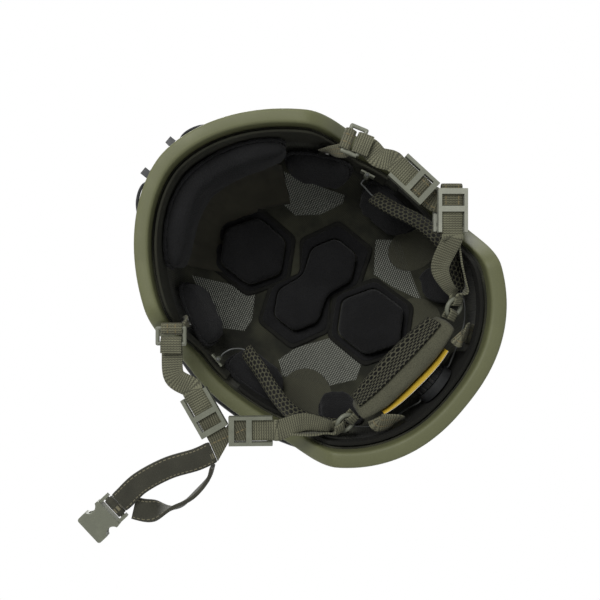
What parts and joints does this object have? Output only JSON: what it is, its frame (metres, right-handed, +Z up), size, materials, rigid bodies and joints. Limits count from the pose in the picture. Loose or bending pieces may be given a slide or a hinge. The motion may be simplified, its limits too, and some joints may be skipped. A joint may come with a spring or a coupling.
{
  "type": "combat helmet",
  "caption": "High-cut combat helmet with padded dial-fit liner, four-point chin harness, side rails and front device shroud.",
  "frame": {"origin": "centre of the head opening, in the plane of the rim's lowest line", "axes": "+Z up to the crown, -Y to the brow, +X to the wearer's left"},
  "size_m": [0.362, 0.2925, 0.17],
  "materials": {
    "shell_paint": "matt olive textured coat over moulded composite",
    "trim_rubber": "satin olive rubber",
    "hard_black": "matt dark grey moulded plastic",
    "steel": "dark zinc-coated steel",
    "liner_cloth": "dark olive woven cloth with mesh windows",
    "cradle_cloth": "near-black woven cloth",
    "pad_cloth": "black brushed cloth over foam",
    "lace_cord": "thin pale cord",
    "grey_plastic": "matt grey-green moulded plastic",
    "nape_cloth": "grey-green woven cloth over foam",
    "spacer_mesh": "grey-green spacer mesh with round holes",
    "webbing": "ribbed grey-green webbing",
    "chin_cloth": "dark grey-green padded webbing with pale stitches",
    "card": "plain yellow card with a white edge",
    "elastic_cord": "black braided elastic cord with plastic hooks"
  },
  "bodies": {
    "helmet": {"shell": "shell_paint", "edge_trim": "trim_rubber", "shroud": "hard_black", "shroud_screws": "steel", "bungee": "elastic_cord", "rail_left": "hard_black", "rail_right": "hard_black", "rail_screws": "steel", "harness_bolts": "steel", "liner": "liner_cloth", "headband": "liner_cloth", "cradle": "cradle_cloth", "brow_pad": "pad_cloth", "temple_pad_left": "pad_cloth", "temple_pad_right": "pad_cloth", "side_pad_left": "pad_cloth", "side_pad_right": "pad_cloth", "rear_pad_left": "pad_cloth", "rear_pad_right": "pad_cloth", "crown_pad_front": "pad_cloth", "crown_pad_middle": "pad_cloth", "crown_pad_rear": "pad_cloth", "dial_housing": "hard_black", "lace": "lace_cord", "nape_tabs": "webbing", "anchor_loop_left": "webbing", "anchor_loop_right": "webbing", "keeper_left": "grey_plastic", "keeper_right": "grey_plastic", "sleeve_left": "spacer_mesh", "sleeve_right": "spacer_mesh"},
    "nape_rest": {"nape_pad": "nape_cloth", "nape_mesh": "spacer_mesh", "nape_ring_left": "grey_plastic", "nape_ring_right": "grey_plastic", "ring_tabs": "webbing", "fit_card": "card"},
    "dial_shaft": {"dial_spindle": "steel", "dial_spool": "hard_black"},
    "dial_grip": {"dial_knob": "hard_black"},
    "guide_left": {"lace_guide_left": "grey_plastic"},
    "guide_right": {"lace_guide_right": "grey_plastic"},
    "right_strap": {"front_lock_right": "grey_plastic", "rear_lock_right": "grey_plastic", "junction_right": "webbing", "front_strap_right": "webbing", "rear_strap_right": "webbing"},
    "chin_strap": {"chin_band_front": "chin_cloth", "chin_band_rear": "chin_cloth"},
    "socket": {"female_buckle": "grey_plastic"},
    "left_strap": {"front_lock_left": "grey_plastic", "rear_lock_left": "grey_plastic", "junction_left": "webbing", "front_strap_left": "webbing", "rear_strap_left": "webbing"},
    "plug": {"male_buckle": "grey_plastic"},
    "front_prong": {"prong_front": "grey_plastic"},
    "rear_prong": {"prong_rear": "grey_plastic"}
  },
  "joints": [
    {"name": "nape_tilt", "type": "hinge", "parent": "helmet", "child": "nape_rest", "pos_m": [-0.00759, 0.08881, 0.02394], "axis": [0.9971, 0.076, 0.0086], "range_deg": [-6, 6], "deforming": ["nape_tabs"]},
    {"name": "dial_turn", "type": "hinge", "parent": "helmet", "child": "dial_shaft", "pos_m": [-0.002, 0.1222, 0.032], "axis": [0, -1, 0], "range_deg": [0, 270], "deforming": ["lace"]},
    {"name": "dial_pull", "type": "slide", "parent": "dial_shaft", "child": "dial_grip", "axis": [0, -1, 0], "range_m": [0, 0.0025]},
    {"name": "lace_pull_left", "type": "slide", "parent": "helmet", "child": "guide_left", "axis": [0.1947, 0.9809, 0], "range_m": [0, 0.01]},
    {"name": "lace_pull_right", "type": "slide", "parent": "helmet", "child": "guide_right", "axis": [-0.1947, 0.9809, 0], "range_m": [0, 0.01]},
    {"name": "right_strap_swing", "type": "hinge", "parent": "helmet", "child": "right_strap", "pos_m": [-0.09828, -0.05054, 0.0048], "axis": [0.1958, 0.973, 0.1223], "range_deg": [-95, 25], "deforming": ["front_strap_right", "rear_strap_right"]},
    {"name": "chin_swing", "type": "hinge", "parent": "right_strap", "child": "chin_strap", "pos_m": [-0.141, 0.0205, 0.0036], "axis": [0.4552, -0.8904, 0], "range_deg": [-60, 75]},
    {"name": "socket_swing", "type": "hinge", "parent": "chin_strap", "child": "socket", "pos_m": [-0.2135, -0.0085, 0.0043], "axis": [0.139, -0.9903, 0], "range_deg": [-60, 60]},
    {"name": "left_strap_swing", "type": "hinge", "parent": "helmet", "child": "left_strap", "pos_m": [0.09759, -0.03474, 0.0048], "axis": [-0.3093, 0.9413, 0.1351], "range_deg": [-25, 95], "deforming": ["front_strap_left", "rear_strap_left"]},
    {"name": "plug_swing", "type": "hinge", "parent": "left_strap", "child": "plug", "pos_m": [0.0905, 0.0515, 0.0126], "axis": [0.6283, 0.7779, 0], "range_deg": [-45, 0]},
    {"name": "front_prong_squeeze", "type": "hinge", "parent": "plug", "child": "front_prong", "pos_m": [0.09674, 0.03695, 0.0126], "axis": [0, 0, 1], "range_deg": [0, 9], "stiffness_Nm_per_rad": 0.02},
    {"name": "rear_prong_squeeze", "type": "hinge", "parent": "plug", "child": "rear_prong", "pos_m": [0.10604, 0.04846, 0.0126], "axis": [0, 0, -1], "range_deg": [0, 9], "stiffness_Nm_per_rad": 0.02}
  ],
  "couplings": [
    {"joint": "lace_pull_left", "follows": "dial_turn", "m_per_rad": 0.0021},
    {"joint": "lace_pull_right", "follows": "dial_turn", "m_per_rad": 0.0021}
  ]
}
